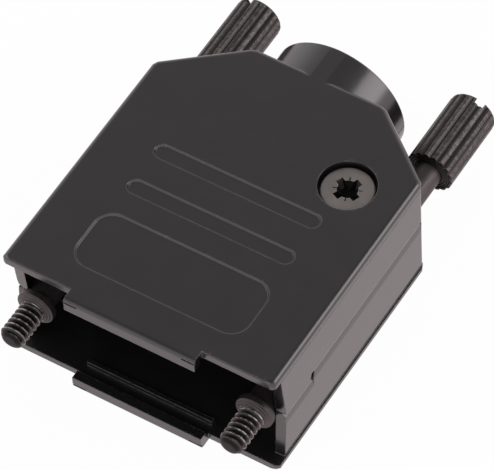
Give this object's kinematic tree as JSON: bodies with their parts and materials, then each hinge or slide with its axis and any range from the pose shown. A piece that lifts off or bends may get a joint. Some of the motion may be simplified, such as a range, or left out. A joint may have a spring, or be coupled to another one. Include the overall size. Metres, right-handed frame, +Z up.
{
  "type": "d-sub connector hood",
  "caption": "Black metal cable hood for a D-sub connector: split housing with angled rear corners, round cable outlet, captive knurled thumbscrews and an inner strain relief.",
  "frame": {"origin": "on the underside, below the middle of the overall length and width", "axes": "+X across the connector, +Y from the connector to the cable outlet, +Z up from the underside"},
  "size_m": [0.0308, 0.047, 0.0147],
  "materials": {
    "casting": "satin black paint on a zinc die casting",
    "thumbscrew": "black oxide steel",
    "screw": "dark oiled steel",
    "clamp": "zinc plated steel",
    "clamp_screw": "zinc plated steel"
  },
  "bodies": {
    "housing": {"lower_shell": "casting", "upper_shell": "casting", "assembly_screw_upper": "screw", "assembly_screw_lower": "screw", "cable_clamp_lower": "clamp", "cable_clamp_upper": "clamp", "clamp_screw_left": "clamp_screw", "clamp_screw_right": "clamp_screw"},
    "left_thumbscrew": {"thumbscrew_left": "thumbscrew"},
    "right_thumbscrew": {"thumbscrew_right": "thumbscrew"}
  },
  "joints": [
    {"name": "left_thumbscrew_turn", "type": "hinge", "parent": "housing", "child": "left_thumbscrew", "pos_m": [-0.01249, 0, 0.00735], "axis": [0, 1, 0], "continuous": true},
    {"name": "right_thumbscrew_turn", "type": "hinge", "parent": "housing", "child": "right_thumbscrew", "pos_m": [0.01249, 0, 0.00735], "axis": [0, 1, 0], "continuous": true}
  ]
}
